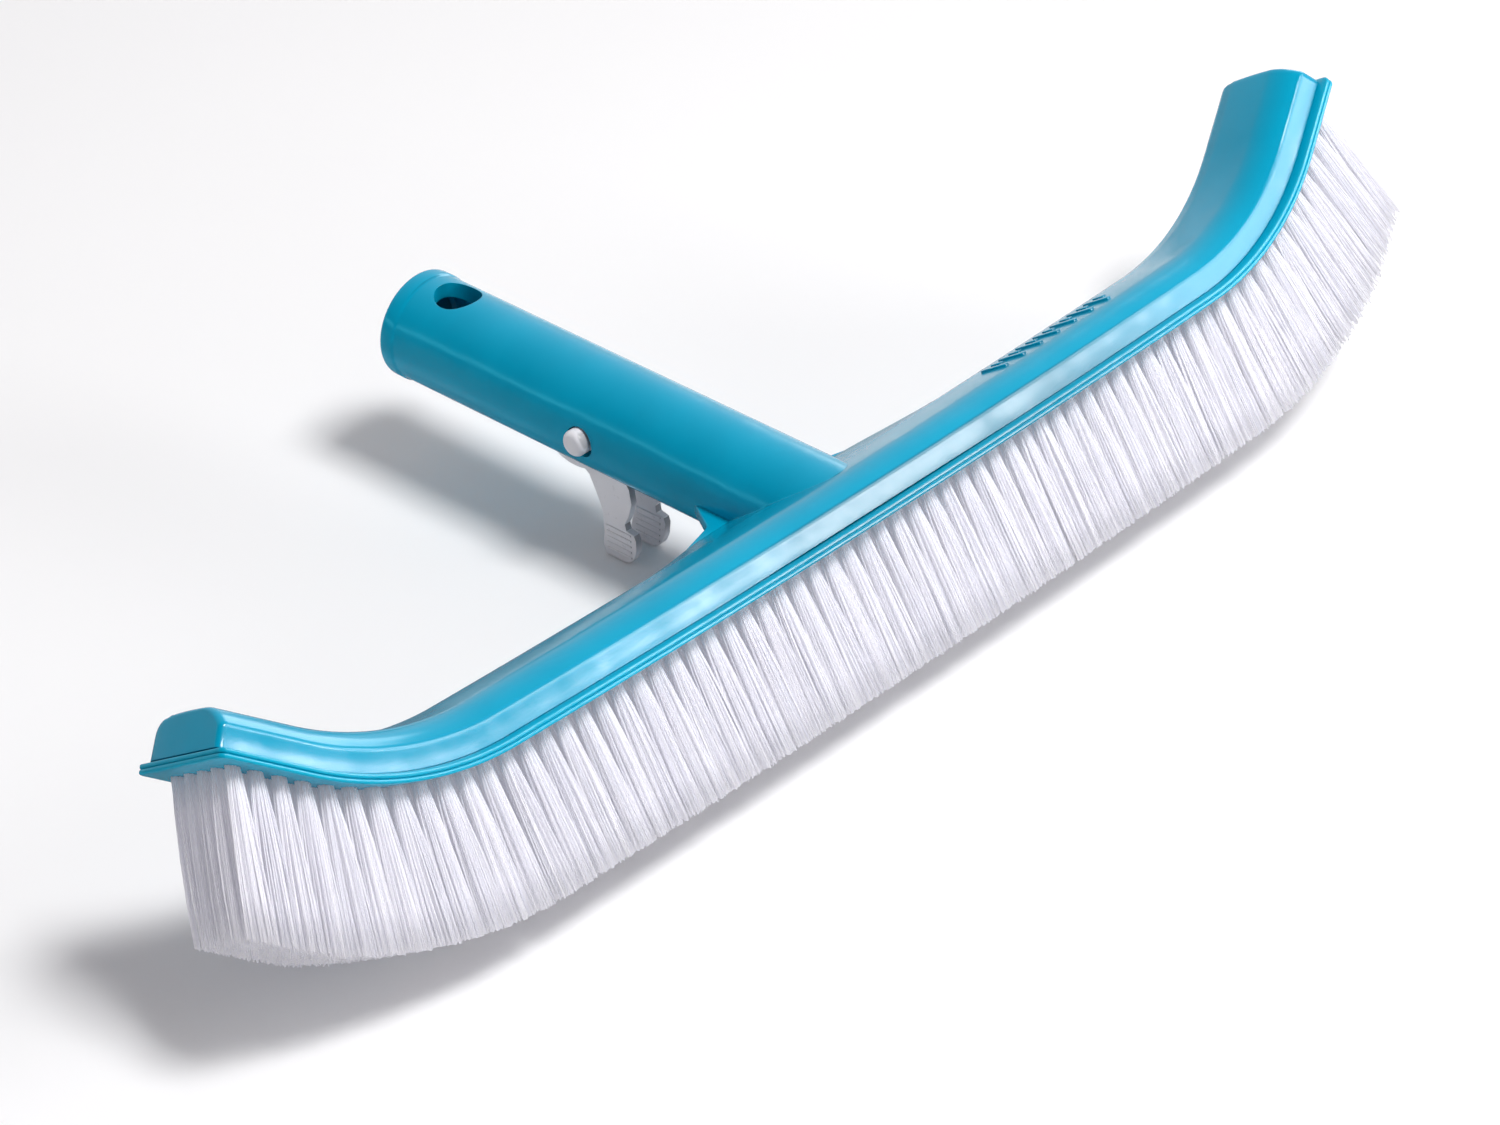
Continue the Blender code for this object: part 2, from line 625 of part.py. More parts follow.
def clip_bend():
    """The bend of the V: a half ring with two short stubs."""
    centre = (0.0, BEND_END_Y - HINGE_OUTER_X)
    outline = [(HINGE_OUTER_X, BEND_START_Y)]
    outline += arc(centre, HINGE_OUTER_X, 0, 180, 12)
    outline += [(-HINGE_OUTER_X, BEND_START_Y), (-HINGE_INNER_X, BEND_START_Y)]
    outline += reversed(arc(centre, HINGE_INNER_X, 0, 180, 12))
    outline.append((HINGE_INNER_X, BEND_START_Y))
    add_piece(flat_plate("clip_bend", outline, CLIP_HEIGHT), CLIP, (0.0, 0.0, CLIP_Z))


head_and_handle()
bristle_block()
bristle_rows()
clip_arm("clip_arm_left", -1)
clip_arm("clip_arm_right", 1)
clip_bend()
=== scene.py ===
"""Looks of a pool wall brush: a glossy teal head and handle, a beaded bristle block, rows of
nylon tufts made of real filaments, and a white spring clip.

The head's length lies along X and the handle runs back along +Y. The head is tilted about X,
so its bristles point down and forward (-Y) and the lowest tips touch z = 0.
"""
from math import cos, pi, radians, sin, sqrt, tan
import bmesh
import bpy
import numpy as np
from mathutils import Matrix, Vector


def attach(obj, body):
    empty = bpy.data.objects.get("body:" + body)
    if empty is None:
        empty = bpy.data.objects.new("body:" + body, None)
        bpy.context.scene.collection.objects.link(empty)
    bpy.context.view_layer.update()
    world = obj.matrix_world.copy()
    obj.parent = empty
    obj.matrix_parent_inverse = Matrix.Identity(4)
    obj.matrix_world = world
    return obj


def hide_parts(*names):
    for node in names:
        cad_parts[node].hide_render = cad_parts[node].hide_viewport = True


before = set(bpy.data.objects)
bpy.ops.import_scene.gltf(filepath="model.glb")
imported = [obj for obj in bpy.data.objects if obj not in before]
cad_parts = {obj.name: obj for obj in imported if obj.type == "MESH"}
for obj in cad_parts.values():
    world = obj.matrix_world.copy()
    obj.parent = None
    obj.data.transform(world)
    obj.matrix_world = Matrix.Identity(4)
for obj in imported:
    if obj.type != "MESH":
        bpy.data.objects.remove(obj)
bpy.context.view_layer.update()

MM = 0.001
# ---------------------------------------------------------------- driving dimensions
# Head coordinates: "run" is arc length along the spine, "depth" goes front to back across
# the head, "rise" is the height off the spine.
TILT = radians(33.1)
MID_RADIUS = 5525.0 * MM            # spine: a nearly flat middle, tight bends, straight ends
MID_ANGLE = radians(1.3567)
END_RADIUS = 92.6 * MM
END_ANGLE = radians(37.3)
END_STRAIGHT = 24.0 * MM

HEAD_HALF_WIDTH = 14.45 * MM
WALL_FOOT = 1.35 * MM               # rise of the wall's foot and top
WALL_TOP = 6.9 * MM
WALL_T = 2.4 * MM
HEAD_TOP = 11.7 * MM
TOP_CROWN = 0.0033 / MM
SHOULDER_START = radians(36.0)
SHOULDER_WIDTH = 8.6 * MM
BACK_EDGE_R = 4.2 * MM
HEAD_END_INSET = 0.6 * MM
HEAD_END_DRAFT = 0.7 * MM
HEAD_END_DRAFT_RUN = 14.0 * MM
HEAD_END_ROUND = 2.2 * MM
HEAD_END_DROP = 1.1 * MM
HEAD_CORNER_FRONT = 1.6 * MM
HEAD_CORNER_BACK = 3.0 * MM
CAVITY_TOP = HEAD_TOP - 2.9 * MM
INNER_CHAMFER = 2.4 * MM
INNER_CORNER = 1.5 * MM

FLANGE_HALF_WIDTH = 17.7 * MM
FLANGE_BOTTOM = -1.7 * MM
FLANGE_TOP = 1.0 * MM
FLANGE_CORNER = 2.0 * MM
CORE_TOP = 8.4 * MM
CORE_GAP = 0.35 * MM

ROWS = 5
TUFTS = 67
FILAMENTS = 60
FILAMENT_R = 0.20 * MM
FILAMENT_NODES = 5
FILAMENT_SIDES = 3
ROW_PITCH_ROOT = 5.5 * MM
ROW_PITCH_TIP = 5.35 * MM
ROW_HALF_TIP = 2.4 * MM
TUFT_R = 1.72 * MM
TUFT_SUNK = 1.0 * MM
BRISTLE_LENGTH = 37.6 * MM
FIELD_END_INSET = 5.1 * MM
LEAN = 0.48                         # share of the spine's slope that a tuft follows

TUBE_Z = -1.93 * MM
TUBE_R = 14.6 * MM
TUBE_ROOT_Y = 2.0 * MM
TUBE_END_Y = 147.6 * MM
BORE_R = 10.4 * MM
BORE_START_Y = 36.0 * MM
END_WALL_T = 3.0 * MM
RIM_R = 14.95 * MM
RIM_BAND = 4.3 * MM
RIM_ROUND = 1.1 * MM
HANG_HOLE_Y = 132.5 * MM
HANG_HOLE_R = 6.3 * MM
SLOT_START_Y, SLOT_END_Y = 38.0 * MM, 95.0 * MM
SLOT_HALF = 9.9 * MM
SLOT_ROUND = 4.0 * MM
SLOT_TOP_Z = TUBE_Z - 4.2 * MM
WEB_TOP_Z = -4.2 * MM
WEB_T = 3.2 * MM
FLARE_T = 6.6 * MM
FLARE_TILT = TILT + radians(3.4)
FLARE_DEPTH = 15.0 * MM             # depth at which the flare meets the head's top
SCARF_SIZE = (124.0 * MM, 62.0 * MM, 26.0 * MM)

CLIP_Z = -2.33 * MM
CLIP_T = 2.2 * MM
CLIP_HALF_H = 4.4 * MM
HINGE_X, HINGE_Y = 5.3 * MM, 114.0 * MM
ELBOW_X = 7.6 * MM                  # outer face of the arm at its first bend
ARM_X = 8.9 * MM                    # outer face of the arm at the pin
LEG_X = 6.6 * MM
LEG_SPLAY = 0.052                   # sideways per unit of height
SPLAY_DROP = 12.0 * MM              # the leg is at LEG_X this far below the origin
PIN_Y = 76.5 * MM
PIN_R = 3.6 * MM
PIN_ROUND = 1.7 * MM
PIN_PROUD = 2.6 * MM
PIN_HOLE_R = 4.35 * MM
PIN_HOLE_SHIFT_Y = -0.35 * MM
PIN_HOLE_SHIFT_Z = -0.2 * MM

# unit directions of run (at the middle), depth and rise
RUN = Vector((1.0, 0.0, 0.0))
DEPTH = Vector((0.0, cos(TILT), -sin(TILT)))
RISE = Vector((0.0, sin(TILT), cos(TILT)))
HEAD_TURN = Matrix.Rotation(-TILT, 4, "X")
Z_TO_Y = Matrix.Rotation(-pi / 2, 4, "X")

MID_RUN = MID_RADIUS * MID_ANGLE
BEND_RUN = MID_RUN + END_RADIUS * (END_ANGLE - MID_ANGLE)
END_RUN = BEND_RUN + END_STRAIGHT
SHELL_END = END_RUN - HEAD_END_INSET
CAVITY_END = SHELL_END - WALL_T - 2.2 * MM

# the origin centres the brush in Y and sets its lowest bristle tips on z = 0
TIP_HALF = (ROWS - 1) / 2 * ROW_PITCH_TIP + ROW_HALF_TIP
TIP_DROP = BRISTLE_LENGTH - FLANGE_BOTTOM
Y_MIN = (DEPTH * -TIP_HALF - RISE * TIP_DROP).y
Z_MIN = (DEPTH * TIP_HALF - RISE * TIP_DROP).z
ORIGIN = Vector((0.0, -(Y_MIN + TUBE_END_Y) / 2, -Z_MIN))
LEG_FOOT_Z = Z_MIN + 0.05 * MM
rng = np.random.default_rng(16)


def spine(run):
    """Point (x, rise) and slope of the head's spine."""
    sign = -1.0 if run < 0 else 1.0
    run = abs(run)
    if run <= MID_RUN:
        slope = run / MID_RADIUS
        x, rise = MID_RADIUS * sin(slope), MID_RADIUS * (1 - cos(slope))
    else:
        x, rise = MID_RADIUS * sin(MID_ANGLE), MID_RADIUS * (1 - cos(MID_ANGLE))
        slope = MID_ANGLE + (min(run, BEND_RUN) - MID_RUN) / END_RADIUS
        x += END_RADIUS * (sin(slope) - sin(MID_ANGLE))
        rise += END_RADIUS * (cos(MID_ANGLE) - cos(slope))
        if run > BEND_RUN:
            x += (run - BEND_RUN) * cos(slope)
            rise += (run - BEND_RUN) * sin(slope)
    return sign * x, rise, sign * slope


def head_point(run, depth, rise):
    x, base, slope = spine(run)
    return (ORIGIN + RUN * (x - sin(slope) * rise) + RISE * (base + cos(slope) * rise)
            + DEPTH * depth)


def head_top(depth):
    """Rise of the crowned top."""
    return HEAD_TOP - TOP_CROWN * depth * depth


# ------------------------------------------------------------------ shader helpers
BLACK = (0.0, 0.0, 0.0, 1.0)
WHITE = (1.0, 1.0, 1.0, 1.0)


def feed(node, inputs):
    """Links each input given a socket, and sets each input given a value."""
    for key, value in inputs.items():
        if isinstance(value, bpy.types.NodeSocket):
            node.id_data.links.new(value, node.inputs[key])
        else:
            node.inputs[key].default_value = value


def add(tree, kind, inputs=None, **settings):
    node = tree.nodes.new("ShaderNode" + kind)
    for key, value in settings.items():
        setattr(node, key, value)
    feed(node, inputs or {})
    return node


def new_material(name):
    material = bpy.data.materials.new(name)
    material.use_nodes = True
    tree = material.node_tree
    return material, tree, tree.nodes["Principled BSDF"]


def noise(tree, coords, scale, detail, roughness=0.5, stretch=(1, 1, 1)):
    mapped = add(tree, "Mapping", {"Scale": stretch, "Vector": coords}).outputs["Vector"]
    return add(tree, "TexNoise", {"Vector": mapped, "Scale": scale, "Detail": detail,
                                  "Roughness": roughness}).outputs["Fac"]


def ramp(tree, value, low, high, positions=(0.3, 0.7)):
    node = add(tree, "ValToRGB", {"Fac": value})
    for element, position, colour in zip(node.color_ramp.elements, positions, (low, high)):
        element.position = position
        element.color = (*colour, 1)
    return node.outputs["Color"]


def remap(tree, value, source, target, kind="LINEAR"):
    return add(tree, "MapRange",
               {"Value": value, "From Min": source[0], "From Max": source[1],
                "To Min": target[0], "To Max": target[1]},
               interpolation_type=kind).outputs["Result"]


def ease(tree, value, source, target):
    return remap(tree, value, source, target, "SMOOTHSTEP")


def multiply(tree, first, second):
    return add(tree, "Math", {0: first, 1: second}, operation="MULTIPLY").outputs["Value"]


def dot(tree, vector, direction):
    return add(tree, "VectorMath", {0: vector, 1: direction},
               operation="DOT_PRODUCT").outputs["Value"]


def bump(tree, height, normal, strength, distance):
    return add(tree, "Bump", {"Height": height, "Normal": normal, "Strength": strength,
                              "Distance": distance}).outputs["Normal"]


def colour_mix(tree, factor, first, second, blend="MIX"):
    node = add(tree, "Mix", {"Factor": factor}, data_type="RGBA", blend_type=blend)
    ends = {"A": first, "B": second}
    for index, socket in enumerate(node.inputs):
        if socket.type == "RGBA":
            feed(node, {index: ends[socket.name]})
    return node.outputs["Result"]


# ------------------------------------------------------------------ materials
def moulded_plastic(name, dark, light, roughness, edge_radius, waviness, grain,
                    glint=(0.40, 0.88, 1.0)):
    """Moulded plastic: faint flow mottling, wavy walls, a fine grain and eased edges."""
    material, tree, shader = new_material(name)
    coords = add(tree, "TexCoord").outputs["Object"]
    flow = noise(tree, coords, scale=26.0, detail=3.0, stretch=(1.0, 1.6, 1.6))
    tone = ramp(tree, flow, dark, light)
    speckle = noise(tree, coords, scale=420.0, detail=4.0, roughness=0.6)
    gloss = remap(tree, speckle, (0.3, 0.7), (roughness * 0.85, roughness * 1.2))

    eased = add(tree, "Bevel", {"Radius": edge_radius}, samples=6).outputs["Normal"]
    waves = noise(tree, coords, scale=62.0, detail=1.0, roughness=0.4)
    wavy = bump(tree, waves, eased, strength=waviness, distance=0.004)
    grains = noise(tree, coords, scale=2600.0, detail=2.0)
    normal = bump(tree, grains, wavy, strength=grain, distance=0.0004)

    # painted reflection colour: reflections turn white on the steep front wall that mirrors the
    # front softboxes, and take the glint colour elsewhere
    geometry = add(tree, "NewGeometry")
    facing = dot(tree, geometry.outputs["Normal"], -DEPTH)
    wall = ease(tree, facing, (0.70, 0.93), (0.0, 1.0))
    glints = colour_mix(tree, wall, (*glint, 1.0), WHITE)
    # painted shade: the steep front wall's base colour darkens by up to half towards the middle
    # of the head, where the lamps fall strongly on it
    position = add(tree, "SeparateXYZ", {"Vector": geometry.outputs["Position"]})
    left = ease(tree, position.outputs["X"], (-0.10, 0.0), (0.0, 0.5))
    right = ease(tree, position.outputs["X"], (0.06, 0.15), (1.0, 0.0))
    middle = multiply(tree, multiply(tree, left, right), wall)
    # the base colour carries the painted shade of the front wall
    feed(shader, {"Base Color": colour_mix(tree, middle, tone, BLACK),
                  "Roughness": gloss, "Normal": normal, "IOR": 1.5,
                  "Specular IOR Level": 0.45, "Specular Tint": glints})
    return material


def nylon(name):
    """White, slightly lilac nylon that lets some light through; each filament
    differs a little in tone, and streaks run along it."""
    material, tree, shader = new_material(name)
    coords = add(tree, "TexCoord").outputs["Object"]
    filament = add(tree, "Attribute", attribute_name="tone").outputs["Fac"]
    tone = ramp(tree, filament, (0.88, 0.88, 0.93), (0.985, 0.975, 1.0), positions=(0.0, 1.0))
    streak = noise(tree, coords, scale=900.0, detail=2.0, stretch=(1.0, 1.0, 0.12))
    streaks = ramp(tree, streak, (0.86, 0.86, 0.9), (1.0, 1.0, 1.0))
    colour = colour_mix(tree, 0.22, tone, streaks, blend="MULTIPLY")
    # painted glow: an emission stands in for light that wanders between the filaments, a little
    # stronger near the root
    along = add(tree, "Attribute", attribute_name="along").outputs["Fac"]
    glow = remap(tree, along, (0.08, 0.6), (0.13, 0.10))
    feed(shader, {"Base Color": colour, "Roughness": 0.42, "Specular IOR Level": 0.4,
                  "Emission Color": (0.95, 0.95, 1.0, 1.0), "Emission Strength": glow})
    through = add(tree, "BsdfTranslucent", {"Color": colour}).outputs["BSDF"]
    body = add(tree, "MixShader", {"Fac": 0.45, 1: shader.outputs["BSDF"], 2: through})
    # fine clear filaments shade one another only partly
    shadow = add(tree, "LightPath").outputs["Is Shadow Ray"]
    clear = add(tree, "BsdfTransparent").outputs["BSDF"]
    surface = add(tree, "MixShader", {"Fac": multiply(tree, shadow, 0.5),
                                      1: body.outputs["Shader"], 2: clear})
    feed(tree.nodes["Material Output"], {"Surface": surface.outputs["Shader"]})
    return material


TEAL = moulded_plastic("teal_gloss_plastic", dark=(0.0, 0.30, 0.475), light=(0.0, 0.335, 0.525),
                       roughness=0.18, edge_radius=0.0003, waviness=0.10, grain=0.03)
BLOCK = moulded_plastic("teal_block_plastic", dark=(0.0, 0.35, 0.53), light=(0.0, 0.39, 0.58),
                        roughness=0.19, edge_radius=0.0002, waviness=0.06, grain=0.03)
CLIP = moulded_plastic("white_clip_plastic", dark=(0.78, 0.77, 0.80), light=(0.87, 0.86, 0.89),
                       roughness=0.30, edge_radius=0.0003, waviness=0.03, grain=0.04,
                       glint=(1.0, 1.0, 1.0))
NYLON = nylon("white_nylon_filament")


# ------------------------------------------------------------------ mesh helpers
def mm(*points):
    """2D points given in millimetres."""
    return [(x * MM, y * MM) for x, y in points]


def arc(x, y, radius, start, sweep, steps, radius_y=None):
    """Points of an arc about (x, y), or of an ellipse's arc; angles in degrees."""
    angles = [radians(start + sweep * i / steps) for i in range(steps + 1)]
    return [(x + radius * cos(a), y + (radius_y or radius) * sin(a)) for a in angles]


def new_object(name, mesh):
    piece = bpy.data.objects.new(name, mesh)
    bpy.context.scene.collection.objects.link(piece)
    return piece


def from_bmesh(name, bm):
    bmesh.ops.recalc_face_normals(bm, faces=bm.faces[:])
    mesh = bpy.data.meshes.new(name)
    bm.to_mesh(mesh)
    bm.free()
    return new_object(name, mesh)


def loft(name, rings, strip_caps=False):
    """Skin over equal rings, each end closed by one face or by strips across it."""
    bm = bmesh.new()
    rows = [[bm.verts.new(point) for point in ring] for ring in rings]
    count = len(rows[0])
    for lower, upper in zip(rows, rows[1:]):
        for i in range(count):
            j = (i + 1) % count
            bm.faces.new((lower[i], lower[j], upper[j], upper[i]))
    for row in (rows[0], rows[-1]):
        if strip_caps:
            for i in range(count // 2 - 1):
                bm.faces.new((row[i], row[i + 1], row[count - 2 - i], row[count - 1 - i]))
        else:
            bm.faces.new(row)
    return from_bmesh(name, bm)


def plate(name, outline, thickness):
    """Flat outline extruded, centred on z = 0; repeated points are dropped."""
    points = [p for p, q in zip(outline, outline[1:] + outline[:1])
              if (Vector(p) - Vector(q)).length > 1e-6]
    bm = bmesh.new()
    bottom = [bm.verts.new((x, y, -thickness / 2)) for x, y in points]
    top = [bm.verts.new((x, y, thickness / 2)) for x, y in points]
    for i in range(len(points)):
        j = (i + 1) % len(points)
        bm.faces.new((bottom[i], bottom[j], top[j], top[i]))
    bm.faces.new(list(reversed(bottom)))
    bm.faces.new(top)
    return from_bmesh(name, bm)


def turned(name, profile, steps):
    """Solid of revolution about Z from (radius, z) points; it starts and ends on the axis."""
    bm = bmesh.new()
    rings = []
    for radius, z in profile:
        if radius < 1e-9:
            rings.append([bm.verts.new((0, 0, z))])
        else:
            rings.append([bm.verts.new((radius * cos(2 * pi * i / steps),
                                        radius * sin(2 * pi * i / steps), z))
                          for i in range(steps)])
    for a, b in zip(rings, rings[1:]):
        for i in range(steps):
            j = (i + 1) % steps
            if len(a) == 1:
                bm.faces.new((a[0], b[i], b[j]))
            elif len(b) == 1:
                bm.faces.new((a[i], b[0], a[j]))
            else:
                bm.faces.new((a[i], b[i], b[j], a[j]))
    return from_bmesh(name, bm)


def drill(name, radius, steps):
    """Long cylinder about Z that cuts a hole right through."""
    reach = 30.0 * MM
    return turned(name, [(0, reach), (radius, reach), (radius, -reach), (0, -reach)], steps)


def box(name, size):
    bm = bmesh.new()
    bmesh.ops.create_cube(bm, size=1.0)
    bmesh.ops.scale(bm, verts=bm.verts[:], vec=size)
    return from_bmesh(name, bm)


def from_origin(x, y, z):
    return ORIGIN + Vector((x, y, z))


def place(piece, position, turn=Matrix.Identity(4)):
    piece.data.transform(Matrix.Translation(position) @ turn)
    return piece


def evaluated_mesh(piece):
    """The piece's mesh with its modifiers applied."""
    bpy.context.view_layer.update()
    depsgraph = bpy.context.evaluated_depsgraph_get()
    return bpy.data.meshes.new_from_object(piece.evaluated_get(depsgraph))


def bevel(piece, width, segments, angle=30.0):
    modifier = piece.modifiers.new("bevel", "BEVEL")
    modifier.width = width
    modifier.segments = segments
    modifier.limit_method = "ANGLE"
    modifier.angle_limit = radians(angle)
    modifier.harden_normals = False
    mesh = evaluated_mesh(piece)
    piece.modifiers.clear()
    piece.data = mesh
    return piece


def carve(base, joined, cut=()):
    """Joins and then cuts with exact Booleans; returns one clean mesh object."""
    steps = [(tool, "UNION") for tool in joined] + [(tool, "DIFFERENCE") for tool in cut]
    for tool, operation in steps:
        modifier = base.modifiers.new(operation.lower(), "BOOLEAN")
        modifier.operation = operation
        modifier.solver = "EXACT"
        modifier.object = tool
    mesh = evaluated_mesh(base)
    name = base.name
    for tool, _ in steps:
        bpy.data.objects.remove(tool, do_unlink=True)
    bpy.data.objects.remove(base, do_unlink=True)
    mesh.name = name
    return new_object(name, mesh)


def smooth(piece, angle=28.0):
    piece.data.shade_smooth()
    piece.data.set_sharp_from_angle(angle=radians(angle))


def dress(piece, material, body, node):
    """Gives a piece its material and its place in the frame."""
    piece.data.materials.clear()
    piece.data.materials.append(material)
    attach(piece, body)
    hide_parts(node)


def divide(start, stop, count):
    """Even steps from start, without stop."""
    return [start + (stop - start) * i / count for i in range(count)]


def stations(end, round_radius, round_steps, mid_steps=10, bend_steps=34):
    """(run, rounding) along the whole head; rounding grows from 0 to 1 over each end's
    round corner."""
    straight_end = end - round_radius
    half = divide(0.0, MID_RUN, mid_steps) + divide(MID_RUN, BEND_RUN, bend_steps) + [BEND_RUN]
    half += divide(BEND_RUN, straight_end, 5)[1:]
    out = [(run, 0.0) for run in half if run < straight_end - 1e-6]
    for i in range(round_steps + 1):
        angle = pi / 2 * i / round_steps
        out.append((straight_end + round_radius * sin(angle), 1 - cos(angle)))
    return [(-run, rounding) for run, rounding in reversed(out[1:])] + out


def inner_loft(name, end, half_width, foot, shoulder, top):
    """Chamfered prism inside the head, along its spine."""
    inner = half_width - INNER_CHAMFER
    section = [(-half_width, foot), (-half_width, shoulder), (-inner, top),
               (inner, top), (half_width, shoulder), (half_width, foot)]
    rings = []
    for run, rounding in stations(end, INNER_CORNER, 3, mid_steps=4, bend_steps=14):
        narrowing = 1 - rounding * INNER_CORNER / half_width
        rings.append([head_point(run, depth * narrowing, rise) for depth, rise in section])
    return loft(name, rings)


# ------------------------------------------------------------------ head and handle
def head_section():
    """(depth, rise) from the front foot over the top to the back foot."""
    half = HEAD_HALF_WIDTH
    foot = half + 0.35 * MM
    foot_rise = WALL_FOOT - 0.26 * MM
    crease = WALL_TOP - 0.2 * MM
    points = [(-foot, foot_rise), (-foot + 0.03 * MM, WALL_FOOT + 0.12 * MM),
              (-foot + 0.14 * MM, WALL_FOOT + 0.55 * MM), (-half - 0.10 * MM, 4.6 * MM),
              (-half - 0.07 * MM, 5.5 * MM)]
    # a small crease above the nearly flat front wall
    shoulder_depth, shoulder_rise = -half + 0.12 * MM, crease + 0.12 * MM
    below = Vector((-half - 0.06 * MM, crease - 0.62 * MM))
    corner = Vector((-half - 0.04 * MM, crease + 0.02 * MM))
    above = Vector((shoulder_depth + 0.38 * MM, shoulder_rise + 0.55 * MM))
    for i in range(8):
        u = i / 7
        point = below * (1 - u) ** 2 + corner * 2 * u * (1 - u) + above * u * u
        points.append((point.x, point.y))
    # the broad front shoulder
    for i in range(1, 19):
        angle = SHOULDER_START + (pi / 2 - SHOULDER_START) * i / 18
        depth = shoulder_depth + (SHOULDER_WIDTH * (cos(SHOULDER_START) - cos(angle))
                                  / cos(SHOULDER_START))
        share = (sin(angle) - sin(SHOULDER_START)) / (1 - sin(SHOULDER_START))
        if depth > above.x + 0.1 * MM:
            points.append((depth, shoulder_rise + (head_top(depth) - shoulder_rise) * share))
    # the crowned top and the rounded back edge
    for depth in (-4.6, -3.0, -1.0, 1.0, 3.0, 5.0, 7.0, 8.6):
        points.append((depth * MM, head_top(depth * MM)))
    points += arc(half - BACK_EDGE_R, head_top(half) - BACK_EDGE_R, BACK_EDGE_R, 90, -90, 12)
    points.append((foot, foot_rise))
    return points


def head_shell():
    section = head_section()
    rings = []
    for run, rounding in stations(SHELL_END, HEAD_END_ROUND, 10):
        drop = (rounding ** 1.3) * HEAD_END_DROP
        near_end = max(0.0, (abs(run) - SHELL_END) / HEAD_END_DRAFT_RUN + 1)
        lean_in = HEAD_END_DRAFT * near_end * (1 if run > 0 else -1)
        ring = []
        for depth, rise in section:
            height = (rise - WALL_FOOT) / (HEAD_TOP - WALL_FOOT)
            corner = HEAD_CORNER_FRONT if depth < 0 else HEAD_CORNER_BACK
            narrowing = 1 - rounding * corner / HEAD_HALF_WIDTH
            ring.append(head_point(run - lean_in * height, depth * narrowing,
                                   rise - drop * height))
        rings.append(ring)
    return loft("head_and_handle_shell", rings)


def handle_tube():
    length = TUBE_END_Y - TUBE_ROOT_Y
    band = length - RIM_BAND
    profile = [(0.0, length)]
    profile += arc(RIM_R - RIM_ROUND, length - RIM_ROUND, RIM_ROUND, 90, -90, 8)
    profile += [(RIM_R, band), (RIM_R - 0.1 * MM, band - 0.3 * MM),
                (TUBE_R + 0.03 * MM, band - 0.7 * MM), (TUBE_R, band - 1.1 * MM)]
    profile += [(TUBE_R, length * i / 6) for i in range(5, -1, -1)] + [(0.0, 0.0)]
    return place(turned("tube", profile, 160), from_origin(0, TUBE_ROOT_Y, TUBE_Z), Z_TO_Y)


def fillet(before, corner, after, radius, steps):
    """Arc that rounds the corner between two straight edges."""
    back = (Vector(before) - Vector(corner)).normalized()
    ahead = (Vector(after) - Vector(corner)).normalized()
    half = back.angle(ahead) / 2
    reach = radius / tan(half)
    centre = Vector(corner) + (back + ahead).normalized() * (radius / sin(half))
    first = Vector(corner) + back * reach - centre
    last = Vector(corner) + ahead * reach - centre
    sweep = first.angle_signed(last)
    out = []
    for i in range(steps + 1):
        t = -sweep * i / steps
        out.append((centre.x + first.x * cos(t) - first.y * sin(t),
                    centre.y + first.x * sin(t) + first.y * cos(t)))
    return out


def neck_web():
    """Flat web between head and tube; the outline is (x, y) of its right half."""
    before, corner, after = mm((14.4, 36.5), (19.8, 27.6), (38.0, 22.8))
    right = mm((12.6, 38.5)) + [before] + fillet(before, corner, after, 2.8 * MM, 14)
    right += [after] + mm((46.0, 20.6), (52.0, 18.0), (52.0, 15.0))
    web = plate("web", right + [(-x, y) for x, y in reversed(right)], WEB_T)
    return place(bevel(web, 0.5 * MM, 3, 40), from_origin(0, 0, WEB_TOP_Z - WEB_T / 2))


def neck_flare():
    """Thick plate behind the head's top, narrowing in an S-curve towards the tube."""
    right = mm((56.0, 8.0))
    for i in range(25):
        u = i / 24
        right += mm((54.0 - 31.0 * u, 13.2 + 8.8 * (u * u * (3 - 2 * u))))
    right += mm((14.0, 22.8))
    flare = plate("flare", [(-x, y) for x, y in right] + right[::-1], FLARE_T)
    rise = head_top(FLARE_DEPTH) - FLARE_T / 2 - 0.15 * MM
    slope = Vector((0.0, cos(FLARE_TILT), -sin(FLARE_TILT)))
    return place(bevel(flare, 0.8 * MM, 3, 40),
                 ORIGIN + DEPTH * FLARE_DEPTH + RISE * rise - slope * FLARE_DEPTH,
                 Matrix.Rotation(-FLARE_TILT, 4, "X"))


